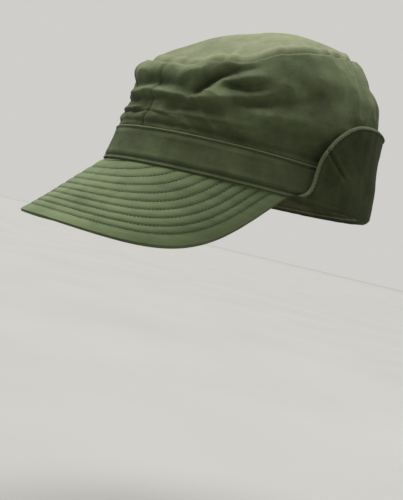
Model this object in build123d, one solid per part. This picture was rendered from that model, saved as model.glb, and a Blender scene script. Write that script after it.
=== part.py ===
"""Soft military field cap with a row-stitched visor and a fold-down neck flap.

Frame: millimetres, +Z up, the visor points along -Y and the wearer's left is +X.
The origin is the centre of the head opening, on the plane of the cap's lower edge.
The neck flap is turned up at rest and is cut into narrow gores, each hinged on the fold.
"""

from build123d import *
import math
import os

os.makedirs("parts", exist_ok=True)

# ---- driving dimensions -------------------------------------------------------------
RIM_X = 86.5            # outer band's lower edge, half width
RIM_Y = 104.5           # outer band's lower edge, half length
BAND_HEIGHT = 25.0
BAND_LEAN = 4.5         # how far the wall leans in over the band's height
CLOTH = 1.0             # a finished, folded cotton layer
LAYER_GAP = 0.05        # air between two layers of one body
SEAM_GAP = 0.05         # degrees between a crown panel's edge and its seam
THREAD = 0.35           # how far a sewn thread stands off the cloth
THREAD_WIDTH = 0.6

SWEATBAND = 1.1         # sweatband thickness
SWEATBAND_HEIGHT = 32.0

# Crown wall above the band, each row: half width, half length, centre y, height, slope.
# A row is an oval on a plane that rises towards the back by its slope.
CROWN_ROWS = [
    (84.0, 98.3, 1.5, 52.0, 0.10),
    (81.0, 91.5, -2.5, 83.0, 0.22),
    (76.0, 83.5, -6.5, 99.0, 0.30),
    (71.5, 77.5, -9.0, 103.0, 0.335),
]
FRONT_SEAM = 14.5       # degrees from the front to the front panel's seams
BACK_SEAM = 146.0       # degrees from the front to the back panel's seams
HEM_HEIGHT = 0.3        # the crown's wall starts this far above the rim
DOME_HEIGHT = 22.0      # the top panel's rise above its seam
DOME_SPREAD = 1.06      # the dome's ellipsoid is this much wider than the seam
TAPE_WIDTH = 10.0
TAPE = 0.6
TAPE_GAP = 0.3          # air between the crown's wall and a seam tape

VISOR_PITCH = math.radians(43.7)
VISOR_LENGTH = 73.6     # along the visor's slope
VISOR_SET_BACK = 1.5    # the visor starts this far inside the rim's outer edge
VISOR_END = math.radians(86.0)      # where the visor's end meets the rim
VISOR_TOP = -0.25       # just below the band's edge
VISOR_CORNER = 80.0     # radius of the rounded end in the side view
VISOR_DROOP = 0.08      # slope of the visor's edge, down from its front towards its ends
VISOR_COVER = 1.0
VISOR_BOARD = 2.2
VISOR_EDGE = 1.6        # the cover folds round the board's edge by this much
STITCH_ROWS = 10
FIRST_ROW = 9.5         # from the visor's edge to the outermost row
ROW_PITCH = 5.5

FLAP_HEIGHT = 66.0
FLAP_LEAN = math.radians(2.0)
FLAP_PLY = 1.0
FLAP_AXIS_OUT = 2.2     # the fold line lies this far outside the rim
FLAP_CLEAR = 0.2        # the cover ply's inner face, outward from the fold line
FLAP_START = 1.9        # the plies start this far above the fold line
FLAP_GORES = 13
FLAP_FIRST = math.radians(90.5)
FLAP_LAST = math.radians(269.5)
GORE_HALF_GAP = 0.85
FOLD_RADIUS = 1.2
ROOT_OUTER = 1.8        # the root strip's edges, outward from the rim
ROOT_INNER = -1.0
ROOT_TOP = -0.2
ROOT_BOTTOM = -1.1
ROOT_FRONT = -1.0       # the root strip starts here, just behind the visor's ends

REACH = 200.0           # larger than the cap, for cutting tools


# ---- helpers ------------------------------------------------------------------------
def save(shape, node):
    """Write one node's solid as its own STEP file."""
    shape.label = node
    export_step(shape, f"parts/{node}.step")


def wall_oval(inset, z):
    """The wall's oval at height z, moved in from the band's outer face by inset."""
    lean = BAND_LEAN * z / BAND_HEIGHT
    return Plane.XY.offset(z) * Ellipse(RIM_X - lean - inset, RIM_Y - lean - inset)


def wall(outer, inner, bottom, top):
    """A leaning ring between two insets and two heights."""
    solids = [loft([wall_oval(i, bottom), wall_oval(i, top)], ruled=True) for i in (outer, inner)]
    return solids[0] - solids[1]


def box_between(low, high):
    """A box from its lowest corner to its highest corner."""
    size = [h - l for l, h in zip(low, high)]
    middle = [(h + l) / 2 for l, h in zip(low, high)]
    return Pos(*middle) * Box(*size)


# ---- crown --------------------------------------------------------------------------
CROWN_INSET = CLOTH + LAYER_GAP
SEAM_X, SEAM_Y, SEAM_CENTRE, SEAM_HEIGHT, SEAM_SLOPE = CROWN_ROWS[-1]
SEAM_PLANE = Plane(
    origin=(0, SEAM_CENTRE, SEAM_HEIGHT + SEAM_SLOPE * SEAM_CENTRE),
    x_dir=(1, 0, 0),
    z_dir=(0, -SEAM_SLOPE, 1),
)
SEAM_LENGTH = SEAM_Y * math.hypot(1, SEAM_SLOPE)    # half length within the seam's plane


BAND_ROW = (RIM_X - BAND_LEAN - CROWN_INSET, RIM_Y - BAND_LEAN - CROWN_INSET, 0, BAND_HEIGHT, 0)
HEM_LEAN = BAND_LEAN * HEM_HEIGHT / BAND_HEIGHT
HEM_ROW = (RIM_X - HEM_LEAN - CROWN_INSET, RIM_Y - HEM_LEAN - CROWN_INSET, 0, HEM_HEIGHT, 0)


def crown_sector(row, outer, inner, first, last):
    """A stretch of one crown row's ring, between two insets and two angles from the front."""
    half_x, half_y, centre, height, slope = row
    half_length = half_y * math.hypot(1, slope)
    arcs = [
        EllipticalCenterArc((0, 0), half_x - i, half_length - i, first - 90, arc_size=last - first)
        for i in (outer, inner)
    ]
    sides = [Line(arcs[0] @ end, arcs[1] @ end) for end in (0, 1)]
    plane = Plane(origin=(0, centre, height + slope * centre), x_dir=(1, 0, 0), z_dir=(0, -slope, 1))
    return plane * make_face(arcs + sides)


def crown_layer(outer, inner, first, last):
    """A layer of the crown's wall above the band, between two insets and two angles."""
    rows = [BAND_ROW] + CROWN_ROWS
    return loft([crown_sector(row, outer, inner, first, last) for row in rows])


def crown_panel(first, last):
    """One panel of the crown's wall, from behind the band up to the top seam."""
    first, last = first + SEAM_GAP, last - SEAM_GAP
    hem = [crown_sector(row, 0, CLOTH, first, last) for row in (HEM_ROW, BAND_ROW)]
    return crown_layer(0, CLOTH, first, last) + loft(hem, ruled=True)


def dome(inset):
    """The ellipsoid whose cap above the seam is the top panel."""
    flank = math.sqrt(1 - 1 / DOME_SPREAD**2)
    rise = DOME_HEIGHT / (1 - flank)
    radii = (SEAM_X * DOME_SPREAD - inset, SEAM_LENGTH * DOME_SPREAD - inset, rise - inset)
    ball = scale(Solid.make_sphere(1.0, angle1=-90, angle2=90), by=radii)
    return SEAM_PLANE * (Pos(0, 0, -rise * flank) * ball)


def above_seam(offset):
    """The half-space above the seam's plane."""
    return SEAM_PLANE * box_between((-REACH, -REACH, offset), (REACH, REACH, REACH))


def seam_ring(outer, inner, bottom, top):
    """A ring in the seam's frame, such as the binding inside the top seam."""
    ovals = [Ellipse(SEAM_X - i, SEAM_LENGTH - i) for i in (outer, inner)]
    return SEAM_PLANE * (Pos(0, 0, bottom) * extrude(ovals[0] - ovals[1], top - bottom))


def seam_tape(angle):
    """The tape that covers one of the crown's upright seams inside."""
    half = math.degrees(TAPE_WIDTH / 2 / RIM_X)
    inset = CLOTH + TAPE_GAP
    tape = crown_layer(inset, inset + TAPE, angle - half, angle + half)
    above_sweatband = box_between((-REACH, -REACH, SWEATBAND_HEIGHT + 2), (REACH, REACH, REACH))
    return (tape & above_sweatband) - above_seam(-8)


save(crown_panel(-FRONT_SEAM, FRONT_SEAM), "crown_front_panel")
save(crown_panel(FRONT_SEAM, BACK_SEAM), "crown_side_panel_left")
save(crown_panel(BACK_SEAM, 360 - BACK_SEAM), "crown_back_panel")
save(crown_panel(360 - BACK_SEAM, 360 - FRONT_SEAM), "crown_side_panel_right")
for name, angle in (("front", FRONT_SEAM), ("back", BACK_SEAM)):
    save(seam_tape(angle), f"{name}_seam_tape_left")
    save(seam_tape(360 - angle), f"{name}_seam_tape_right")
save((dome(0) - dome(CLOTH)) & above_seam(LAYER_GAP), "crown_top_panel")
save(seam_ring(CLOTH + 0.5, CLOTH + 1.3, -6.0, -0.1), "top_seam_binding")

# ---- band and sweatband ---------------------------------------------------------------
SWEAT_INSET = CROWN_INSET + CLOTH + 0.1
SWEAT_FACE = SWEAT_INSET + SWEATBAND

save(wall(0, CLOTH, 0, BAND_HEIGHT), "outer_band")
save(wall(-THREAD, 0, BAND_HEIGHT - 2.6, BAND_HEIGHT - 2.0), "band_top_stitching")
save(wall(-THREAD, 0, 2.0, 2.6), "band_bottom_stitching")
save(wall(SWEAT_INSET, SWEAT_FACE, 0.4, SWEATBAND_HEIGHT), "sweatband")
save(wall(SWEAT_FACE, SWEAT_FACE + THREAD, 2.6, 3.2), "sweatband_stitching")
label_patch = wall(SWEAT_FACE, SWEAT_FACE + 0.4, 8, 22) & box_between((-14, 0, 0), (14, REACH, 40))
save(label_patch, "size_label")

# ---- visor ----------------------------------------------------------------------------
VISOR_X = RIM_X - VISOR_SET_BACK
VISOR_Y = RIM_Y - VISOR_SET_BACK
SLOPE_DOWN = Vector(0, -math.cos(VISOR_PITCH), -math.sin(VISOR_PITCH))


def visor_core(depth):
    """The slanting oval prism below the visor's top face, depth under it."""
    oval = Ellipse(VISOR_X - depth, VISOR_Y - depth / math.sin(VISOR_PITCH))
    start = SLOPE_DOWN * -20
    return Pos(start.X, start.Y, start.Z) * extrude(oval, VISOR_LENGTH + 60, dir=SLOPE_DOWN)


def visor_outline(inset, top=VISOR_TOP):
    """The visor's side view, parallel to its edge at inset, as a block across the cap."""
    end = -VISOR_Y * math.cos(VISOR_END) - inset / math.sin(VISOR_PITCH)
    reach = VISOR_LENGTH - inset
    front = Vector(0, -VISOR_Y - reach * math.cos(VISOR_PITCH), -reach * math.sin(VISOR_PITCH))
    ahead = front.Z + VISOR_DROOP * (REACH + front.Y)
    lowest = (ahead - VISOR_DROOP * (REACH + end)) / (1 + VISOR_DROOP / math.tan(VISOR_PITCH))
    corner = Vector(0, end + lowest / math.tan(VISOR_PITCH), lowest)
    points = [
        Vector(0, end + top / math.tan(VISOR_PITCH), top),
        Vector(0, -REACH, top),
        Vector(0, -REACH, ahead),
        corner,
    ]
    face = make_face(Polyline(*points, close=True))
    rounded = face.vertices().sort_by_distance(corner)[0]
    face = fillet(rounded, VISOR_CORNER - inset)
    return Pos(-REACH / 2, 0, 0) * extrude(face, REACH, dir=(1, 0, 0))


def visor_layer(top, bottom, outline):
    """The visor's layer between two depths, cut to an outline."""
    return (visor_core(top) - visor_core(bottom)) & outline


BOARD_TOP = VISOR_COVER
BOARD_BOTTOM = VISOR_COVER + VISOR_BOARD
full_outline = visor_outline(0)
board = visor_layer(BOARD_TOP, BOARD_BOTTOM, visor_outline(VISOR_EDGE))
save(board, "visor_stiffener")
save(visor_layer(0, BOARD_BOTTOM, full_outline) - board, "visor_top_cover")
save(visor_layer(BOARD_BOTTOM, BOARD_BOTTOM + VISOR_COVER, full_outline), "visor_bottom_cover")

rows = []
for row in range(STITCH_ROWS):
    inset = FIRST_ROW + row * ROW_PITCH
    ring = visor_layer(-THREAD, 0, visor_outline(inset) - visor_outline(inset + THREAD_WIDTH))
    rows += ring.solids()
save(Compound(children=rows), "visor_stitching")

# ---- neck flap ------------------------------------------------------------------------
FOLD_X = RIM_X + FLAP_AXIS_OUT
FOLD_Y = RIM_Y + FLAP_AXIS_OUT


def fold_point(angle):
    """A point of the fold line; the angle runs from the front, over the left, to the back."""
    return Vector(FOLD_X * math.sin(angle), -FOLD_Y * math.cos(angle), 0)


def flap_core(outward):
    """The solid inside a face of the turned-up flap, outward from the fold line."""
    top = FLAP_HEIGHT + 10
    spread = top * math.tan(FLAP_LEAN)
    ovals = [
        Plane.XY.offset(z) * Ellipse(FOLD_X + outward + grow, FOLD_Y + outward + grow)
        for z, grow in ((0, 0), (top, spread))
    ]
    return loft(ovals, ruled=True)


def flap_outline():
    """The turned-up flap's side view as a block: a steep front edge and a level top."""
    low, high = FLAP_START, FLAP_HEIGHT
    front = Spline((0, 2.6, low), (0, 5.2, 18), (0, 9.0, 33), (0, 17.0, 47), (0, 31.0, 58),
                   (0, 56.0, 64), (0, 84.0, high))
    back = Polyline((0, 84.0, high), (0, REACH, high), (0, REACH, low), (0, 2.6, low))
    return Pos(-REACH / 2, 0, 0) * extrude(make_face([front, back]), REACH, dir=(1, 0, 0))


def gore_wedge(first, last):
    """The upright wedge that one gore fills, with half a gap off each side."""
    corners = []
    for angle, side in ((first, 1), (last, -1)):
        across = Vector(math.sin(angle), -math.cos(angle), 0)
        along = Vector(math.cos(angle), math.sin(angle), 0) * (side * GORE_HALF_GAP)
        reach = [fold_point(angle) + along + across * r for r in (-12, 20)]
        corners += reach if side > 0 else reach[::-1]
    return extrude(make_face(Polyline(*corners, close=True)), FLAP_HEIGHT + 5)


outline = flap_outline()
plies = {
    "cover": flap_core(FLAP_CLEAR + FLAP_PLY) - flap_core(FLAP_CLEAR),
    "lining": flap_core(FLAP_CLEAR + 2 * FLAP_PLY) - flap_core(FLAP_CLEAR + FLAP_PLY),
}
step = (FLAP_LAST - FLAP_FIRST) / FLAP_GORES
for gore in range(FLAP_GORES):
    wedge = gore_wedge(FLAP_FIRST + gore * step, FLAP_FIRST + (gore + 1) * step)
    for ply, shell in plies.items():
        save(shell & outline & wedge, f"neck_flap_{ply}_{gore + 1:02d}")

def fold_roll(first, last):
    """The rolled cloth along one gore's stretch of the fold line."""
    start, end = fold_point(first), fold_point(last)
    run = end - start
    upright = (Align.CENTER, Align.CENTER, Align.MIN)
    return Plane(origin=start, z_dir=run) * Cylinder(FOLD_RADIUS, run.length, align=upright)


def flap_root():
    """The strip that the flap hangs from, under the band's edge, with its rolled fold."""
    ovals = [Ellipse(RIM_X + reach, RIM_Y + reach) for reach in (ROOT_OUTER, ROOT_INNER)]
    root = Pos(0, 0, ROOT_BOTTOM) * extrude(ovals[0] - ovals[1], ROOT_TOP - ROOT_BOTTOM)
    root &= box_between((-REACH, ROOT_FRONT, -5), (REACH, REACH, 5))
    for edge in range(FLAP_GORES):
        first = FLAP_FIRST + edge * step
        root += fold_roll(first, first + step)
        if edge:
            joint = fold_point(first)
            root += Pos(joint.X, joint.Y, joint.Z) * Sphere(FOLD_RADIUS)
    return root


save(flap_root(), "neck_flap_root")
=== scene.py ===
"""Looks of a soft military field cap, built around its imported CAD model.

Lengths are in millimetres and angles in degrees until a mesh is made. An angle runs from the
front of the cap, over the wearer's left, to the back.
"""

import logging
import math
from dataclasses import dataclass, field
from enum import Enum

import bpy
import numpy as np
from mathutils import Matrix, Vector


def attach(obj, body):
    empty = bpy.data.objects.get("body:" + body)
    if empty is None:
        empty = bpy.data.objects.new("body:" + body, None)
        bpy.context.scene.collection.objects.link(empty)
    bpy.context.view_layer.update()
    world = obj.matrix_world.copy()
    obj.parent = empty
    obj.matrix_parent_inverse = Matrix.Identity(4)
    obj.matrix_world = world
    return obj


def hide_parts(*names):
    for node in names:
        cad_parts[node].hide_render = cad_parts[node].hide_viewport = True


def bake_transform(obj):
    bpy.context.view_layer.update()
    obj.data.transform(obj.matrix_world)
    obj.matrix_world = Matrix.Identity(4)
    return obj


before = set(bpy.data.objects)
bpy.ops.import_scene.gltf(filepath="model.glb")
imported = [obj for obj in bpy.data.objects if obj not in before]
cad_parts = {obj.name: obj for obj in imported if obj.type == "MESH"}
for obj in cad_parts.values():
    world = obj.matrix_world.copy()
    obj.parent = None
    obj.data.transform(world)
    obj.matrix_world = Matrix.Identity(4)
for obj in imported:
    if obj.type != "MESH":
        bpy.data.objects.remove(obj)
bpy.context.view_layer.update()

log = logging.getLogger("field_cap")
MM = 0.001

# Sizes that the CAD model sets.
RIM_X, RIM_Y = 86.5, 104.5
BAND_HEIGHT = 25.0
BAND_LEAN = 0.18
CLOTH = 0.9
STITCH_PITCH = 2.6
GORES = 13
GORE_FIRST, GORE_LAST = 90.5, 269.5
GORE_STEP = (GORE_LAST - GORE_FIRST) / GORES
FRONT_SEAM, BACK_SEAM = 14.5, 146.0


# ---- numbers ------------------------------------------------------------------------------
def smoothstep(value: np.ndarray, low: float, high: float) -> np.ndarray:
    """Rise smoothly from 0 at low to 1 at high."""
    t = np.clip((value - low) / (high - low), 0, 1)
    return t * t * (3 - 2 * t)


def bell(value: np.ndarray, middle: float, width: float) -> np.ndarray:
    """A bell of height 1 round middle."""
    return np.exp(-(((value - middle) / width) ** 2))


def from_front(angle: np.ndarray) -> np.ndarray:
    """Bring an angle into -180 to 180, 0 at the front and above 0 on the wearer's left."""
    return (np.asarray(angle) + 180) % 360 - 180


def soft_noise(points: np.ndarray, seed: int) -> np.ndarray:
    """Smooth noise on a lattice of unit cells.

    Args:
        points: places in lattice units, shape (..., 3).
        seed: which lattice.

    Returns:
        Values from -1 to 1, shape (...).
    """
    cell = np.floor(points).astype(np.int64)
    part = points - cell
    ease = part * part * (3 - 2 * part)
    total = np.zeros(points.shape[:-1])
    for corner in np.ndindex(2, 2, 2):
        key = cell + np.array(corner)
        mixed = key[..., 0] * 73856093 ^ key[..., 1] * 19349663 ^ key[..., 2] * 83492791
        mixed = (mixed ^ (seed * 2654435761)) & 0x7FFFFFFF
        mixed = ((mixed ^ (mixed >> 15)) * 1274126177) & 0x7FFFFFFF
        mixed = (mixed ^ (mixed >> 13)) & 0xFFFF
        weight = np.prod(np.where(np.array(corner), ease, 1 - ease), axis=-1)
        total += (mixed / 32767.5 - 1) * weight
    return total


def smooth_rows(table: np.ndarray, at: np.ndarray) -> np.ndarray:
    """Interpolate a table's columns without overshoot.

    Args:
        table: rows of (position, value, value, ...), positions rising.
        at: positions to read, any shape.

    Returns:
        The values, shape at.shape + (columns,).
    """
    x, y = table[:, 0], table[:, 1:]
    h = np.diff(x)[:, None]
    delta = np.diff(y, axis=0) / h
    slope = np.zeros_like(y)
    first, second = 2 * h[1:] + h[:-1], h[1:] + 2 * h[:-1]
    same = delta[1:] * delta[:-1] > 0
    safe = np.where(same, delta[1:], 1), np.where(same, delta[:-1], 1)
    slope[1:-1] = np.where(same, (first + second) / (first / safe[1] + second / safe[0]), 0)
    slope[0], slope[-1] = delta[0], delta[-1]
    k = np.clip(np.searchsorted(x, at, side="right") - 1, 0, len(x) - 2)
    width = h[k, 0][..., None]
    t = ((at - x[k]) / h[k, 0])[..., None]
    rise = (2 * t**3 - 3 * t**2 + 1) * y[k] + (3 * t**2 - 2 * t**3) * y[k + 1]
    return rise + (t**3 - 2 * t**2 + t) * width * slope[k] + (t**3 - t**2) * width * slope[k + 1]


def line_distance(points: np.ndarray, line: np.ndarray) -> tuple[np.ndarray, np.ndarray]:
    """How far points in the plane are from a line of straight runs.

    Args:
        points: shape (..., 2).
        line: shape (n, 2).

    Returns:
        The distance, and where along the line the nearest place is, from 0 to 1.
    """
    runs = np.linalg.norm(np.diff(line, axis=0), axis=1)
    start = np.concatenate([[0], np.cumsum(runs)])
    best = np.full(points.shape[:-1], 1e9)
    along = np.zeros(points.shape[:-1])
    for k, run in enumerate(runs):
        step = (line[k + 1] - line[k]) / run
        t = np.clip((points - line[k]) @ step, 0, run)
        far = np.linalg.norm(points - line[k] - t[..., None] * step, axis=-1)
        nearer = far < best
        best = np.where(nearer, far, best)
        along = np.where(nearer, (start[k] + t) / start[-1], along)
    return best, along


def grid_normals(points: np.ndarray, wraps: bool = False) -> np.ndarray:
    """Unit normals of a grid of points, shape (m, n, 3), the sign as the grid turns."""
    ring = np.concatenate([points[-1:], points, points[:1]]) if wraps else points
    across = np.gradient(ring, axis=0)
    across = across[1:-1] if wraps else across
    normal = np.cross(across, np.gradient(points, axis=1))
    return normal / np.maximum(np.linalg.norm(normal, axis=-1, keepdims=True), 1e-12)


def run_length(line: np.ndarray) -> np.ndarray:
    """How far along a line of points each point is."""
    return np.concatenate([[0], np.cumsum(np.linalg.norm(np.diff(line, axis=0), axis=1))])


def resample(line: np.ndarray, spacing: float) -> np.ndarray:
    """Places along a line of points at an even spacing, as fractions of its index."""
    start = run_length(line)
    count = max(2, int(start[-1] / spacing))
    return np.interp((np.arange(count) + 0.5) / count * start[-1], start, np.arange(len(line)))


# ---- materials ----------------------------------------------------------------------------
def linear(code: str) -> tuple[float, float, float, float]:
    """Turn an sRGB hex colour into linear RGBA."""
    parts = [int(code[i : i + 2], 16) / 255 for i in (1, 3, 5)]
    parts = [c / 12.92 if c <= 0.04045 else ((c + 0.055) / 1.055) ** 2.4 for c in parts]
    return (*parts, 1.0)


def add(tree: bpy.types.NodeTree, kind: str, inputs: dict | None = None, **settings) -> bpy.types.Node:
    """Add one node.

    Args:
        tree: the material's nodes.
        kind: the node's type.
        inputs: a value or another node's output for each input, by name or number.
        **settings: the node's own settings.

    Returns:
        The node.
    """
    node = tree.nodes.new(kind)
    for name, value in settings.items():
        setattr(node, name, value)
    for key, value in (inputs or {}).items():
        if isinstance(value, bpy.types.NodeSocket):
            tree.links.new(value, node.inputs[key])
        else:
            node.inputs[key].default_value = value
    return node


def blank(name: str) -> tuple[bpy.types.Material, bpy.types.NodeTree]:
    """Make a material with no nodes, and give it with its node tree."""
    material = bpy.data.materials.new(name)
    material.use_nodes = True
    material.node_tree.nodes.clear()
    return material, material.node_tree


def mixed(tree: bpy.types.NodeTree, factor, one, two, blend: str = "MIX") -> bpy.types.NodeSocket:
    """Mix two colours and give the result's socket."""
    node = add(tree, "ShaderNodeMix", {0: factor, 6: one, 7: two}, data_type="RGBA", blend_type=blend)
    return node.outputs[2]


class Weave(Enum):
    """How the threads of a cloth cross."""

    POPLIN = "fine crosswise ribs"
    TWILL = "diagonal ribs"
    TAPE = "narrow ribs along the tape"


@dataclass(frozen=True)
class WovenCotton:
    """Dyed cotton, washed until it is matt: yarns show as faint ribs, folds and edges fade, and painted
    shade darkens its hollows.
    """

    name: str
    base: str
    faded: str
    shaded: str
    weave: Weave = Weave.POPLIN
    rib_mm: float = 0.45
    drawn_mm: float = 1.5
    roughness: float = 0.88
    sheen: float = 0.12
    gloss: float = 0.25
    mottle: float = 0.55
    relief_mm: float = 0.12

    def build(self) -> bpy.types.Material:
        """Make the material; ribs too fine for a render are drawn at drawn_mm."""
        material, tree = blank(self.name)
        place = add(tree, "ShaderNodeUVMap", uv_map="cloth").outputs[0]
        turn = math.radians(45 if self.weave is Weave.TWILL else 0)
        laid = add(tree, "ShaderNodeMapping", {0: place, 2: (0, 0, turn)}).outputs[0]
        # A wave texture's period is 2 pi / 20 of its scale.
        scale = 2 * math.pi / 20 / (max(self.rib_mm, self.drawn_mm) * MM)
        cross = 0.5 if self.weave is Weave.TAPE else 1.6
        ribs = add(tree, "ShaderNodeTexWave",
                   {0: laid, 1: scale, 2: 0.5, 3: 2.0, 4: 2.0},
                   bands_direction="Y").outputs["Fac"]
        yarns = add(tree, "ShaderNodeTexWave",
                    {0: laid, 1: scale * cross, 2: 0.5, 3: 2.0, 4: 2.0},
                    bands_direction="X").outputs["Fac"]
        weave = add(tree, "ShaderNodeMath", {0: ribs, 1: yarns}, operation="MULTIPLY").outputs[0]
        # Dye takes unevenly: clouds 30 mm wide, blotches 7 mm wide and slubs of single yarns.
        clouds = add(tree, "ShaderNodeTexNoise", {0: place, 2: 1 / 0.030, 3: 3.0, 4: 0.6}).outputs[0]
        blotch = add(tree, "ShaderNodeTexNoise", {0: place, 2: 1 / 0.007, 3: 4.0, 4: 0.7}).outputs[0]
        stretch = add(tree, "ShaderNodeMapping", {0: laid, 3: (1.0, 9.0, 1.0)}).outputs[0]
        slubs = add(tree, "ShaderNodeTexNoise", {0: stretch, 2: 1 / 0.009, 3: 3.0, 4: 0.7}).outputs[0]
        cloudy = add(tree, "ShaderNodeMapRange", {0: clouds, 1: 0.35, 2: 0.68}).outputs[0]
        ground = mixed(tree, cloudy, linear(self.shaded), linear(self.faded))
        colour = mixed(tree, self.mottle, linear(self.base), ground)
        spots = add(tree, "ShaderNodeMapRange", {0: blotch, 1: 0.3, 2: 0.7, 3: 0.86, 4: 1.14}).outputs[0]
        lines = add(tree, "ShaderNodeMapRange", {0: slubs, 1: 0.3, 2: 0.7, 3: 0.90, 4: 1.10}).outputs[0]
        threads = add(tree, "ShaderNodeMapRange", {0: weave, 1: 0.0, 2: 1.0, 3: 0.96, 4: 1.03}).outputs[0]
        for tone in (spots, lines, threads):
            colour = mixed(tree, 1.0, colour, tone, "MULTIPLY")
        # A per-point attribute shifts the colour. Above 0 it pales towards the faded tone: worn ridges and
        # edges, and painted highlights. Below 0 it darkens towards the shaded tone: painted shade in
        # hollows, grooves, seams and undersides, and a painted shadow of the flap.
        wear_and_light_level = add(tree, "ShaderNodeAttribute", attribute_name="wear_and_painted_light").outputs["Fac"]
        ridge = add(tree, "ShaderNodeMapRange", {0: wear_and_light_level, 1: 0.0, 2: 1.0, 3: 0.0, 4: 0.75}).outputs[0]
        hollow = add(tree, "ShaderNodeMapRange", {0: wear_and_light_level, 1: 0.0, 2: -1.3, 3: 0.0, 4: 0.92}).outputs[0]
        colour = mixed(tree, ridge, colour, linear(self.faded))
        colour = mixed(tree, hollow, colour, linear(self.shaded))
        relief = add(tree, "ShaderNodeBump",
                     {"Strength": 0.30, "Distance": self.relief_mm * MM, "Height": weave}).outputs[0]
        crease = add(tree, "ShaderNodeTexNoise", {0: place, 2: 1 / 0.011, 3: 5.0, 4: 0.6}).outputs[0]
        relief = add(tree, "ShaderNodeBump",
                     {"Strength": 0.5, "Distance": 0.9 * MM, "Height": crease, "Normal": relief}).outputs[0]
        shade = add(tree, "ShaderNodeBsdfPrincipled",
                    {"Base Color": colour, "Roughness": self.roughness, "IOR": 1.5,
                     "Specular IOR Level": self.gloss, "Sheen Weight": self.sheen, "Sheen Roughness": 0.5,
                     "Sheen Tint": linear(self.faded), "Normal": relief})
        add(tree, "ShaderNodeOutputMaterial", {0: shade.outputs[0]})
        return material


@dataclass(frozen=True)
class TwistedThread:
    """Spun sewing thread: a slanting twist, a little gloss along each stitch."""

    name: str
    colour: str
    light: str

    def build(self) -> bpy.types.Material:
        """Make the material with a twist 0.6 mm long."""
        material, tree = blank(self.name)
        place = add(tree, "ShaderNodeUVMap", uv_map="cloth").outputs[0]
        slant = add(tree, "ShaderNodeMapping", {0: place, 2: (0, 0, math.radians(35))}).outputs[0]
        twist = add(tree, "ShaderNodeTexWave",
                    {0: slant, 1: 2 * math.pi / 20 / (0.6 * MM), 2: 0.2},
                    bands_direction="X").outputs["Fac"]
        tone = mixed(tree, twist, linear(self.colour), linear(self.light))
        relief = add(tree, "ShaderNodeBump",
                     {"Strength": 0.5, "Distance": 0.08 * MM, "Height": twist}).outputs[0]
        shade = add(tree, "ShaderNodeBsdfPrincipled",
                    {"Base Color": tone, "Roughness": 0.6, "IOR": 1.5, "Normal": relief})
        add(tree, "ShaderNodeOutputMaterial", {0: shade.outputs[0]})
        return material


@dataclass(frozen=True)
class PressedFibre:
    """Pressed fibre board: dull, flecked with short fibres."""

    name: str
    colour: str
    fleck: str

    def build(self) -> bpy.types.Material:
        """Make the material with flecks about 1.5 mm long."""
        material, tree = blank(self.name)
        place = add(tree, "ShaderNodeTexCoord").outputs["Object"]
        fibres = add(tree, "ShaderNodeTexNoise", {0: place, 2: 1 / 0.0015, 3: 3.0, 4: 0.6}).outputs[0]
        tone = mixed(tree, fibres, linear(self.colour), linear(self.fleck))
        relief = add(tree, "ShaderNodeBump",
                     {"Strength": 0.4, "Distance": 0.2 * MM, "Height": fibres}).outputs[0]
        shade = add(tree, "ShaderNodeBsdfPrincipled",
                    {"Base Color": tone, "Roughness": 0.8, "IOR": 1.45, "Normal": relief})
        add(tree, "ShaderNodeOutputMaterial", {0: shade.outputs[0]})
        return material


@dataclass(frozen=True)
class PaintedFloor:
    """A matt painted studio floor, with hardly any texture."""

    name: str
    colour: str

    def build(self) -> bpy.types.Material:
        """Make the material with a faint cloudiness."""
        material, tree = blank(self.name)
        place = add(tree, "ShaderNodeTexCoord").outputs["Object"]
        cloud = add(tree, "ShaderNodeTexNoise", {0: place, 2: 3.0, 3: 2.0}).outputs[0]
        tone = mixed(tree, 0.03, linear(self.colour), cloud)
        shade = add(tree, "ShaderNodeBsdfPrincipled", {"Base Color": tone, "Roughness": 0.9})
        add(tree, "ShaderNodeOutputMaterial", {0: shade.outputs[0]})
        return material


class Finishes:
    """Every finish of the cap, each made once."""

    def __init__(self) -> None:
        """Make the materials."""
        # Olive cotton poplin, piece dyed: a flat green with dull highlights.
        self.poplin = WovenCotton("olive_cotton_poplin", "#414A2F", "#596243", "#2D331D").build()
        # The top panel has had the most sun: greyer and paler.
        self.faded = WovenCotton("sun_faded_cotton_poplin", "#5A5F42", "#6D7256", "#464D32",
                                 mottle=0.5).build()
        # The visor's cover is stretched over its board, so it stays smooth and even.
        self.visor = WovenCotton("stretched_cotton_poplin", "#4F5B3C", "#636E4D", "#3A462B",
                                 mottle=0.4).build()
        # The flap's lining is a denser, browner twill.
        self.lining = WovenCotton("brown_olive_cotton_twill", "#2A311B", "#3B4129", "#1E2010",
                                  weave=Weave.TWILL, rib_mm=0.7, drawn_mm=1.7,
                                  sheen=0.02, gloss=0.08).build()
        # The sweatband is a soft herringbone-weight twill, lighter where it has rubbed.
        self.sweatband = WovenCotton("olive_sweatband_twill", "#54563B", "#6A6B50", "#3C3F29",
                                     weave=Weave.TWILL, rib_mm=0.9, drawn_mm=1.7).build()
        # Cotton tape has fine lengthwise ribs.
        self.tape = WovenCotton("ribbed_cotton_tape", "#5D6043", "#727457", "#46482F",
                                weave=Weave.TAPE, rib_mm=0.6, drawn_mm=1.3).build()
        # A woven label, left blank.
        self.label = WovenCotton("blank_woven_label", "#C9C6B2", "#DAD8C8", "#B3B09B",
                                 rib_mm=0.3, drawn_mm=1.2, mottle=0.3).build()
        # Spun polyester thread, a tone darker than the cloth.
        self.thread = TwistedThread("olive_spun_thread", "#262D1A", "#353E26").build()
        # Grey pressed fibre stiffens the visor.
        self.board = PressedFibre("grey_pressed_fibre", "#6A675D", "#8A877B").build()


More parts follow.
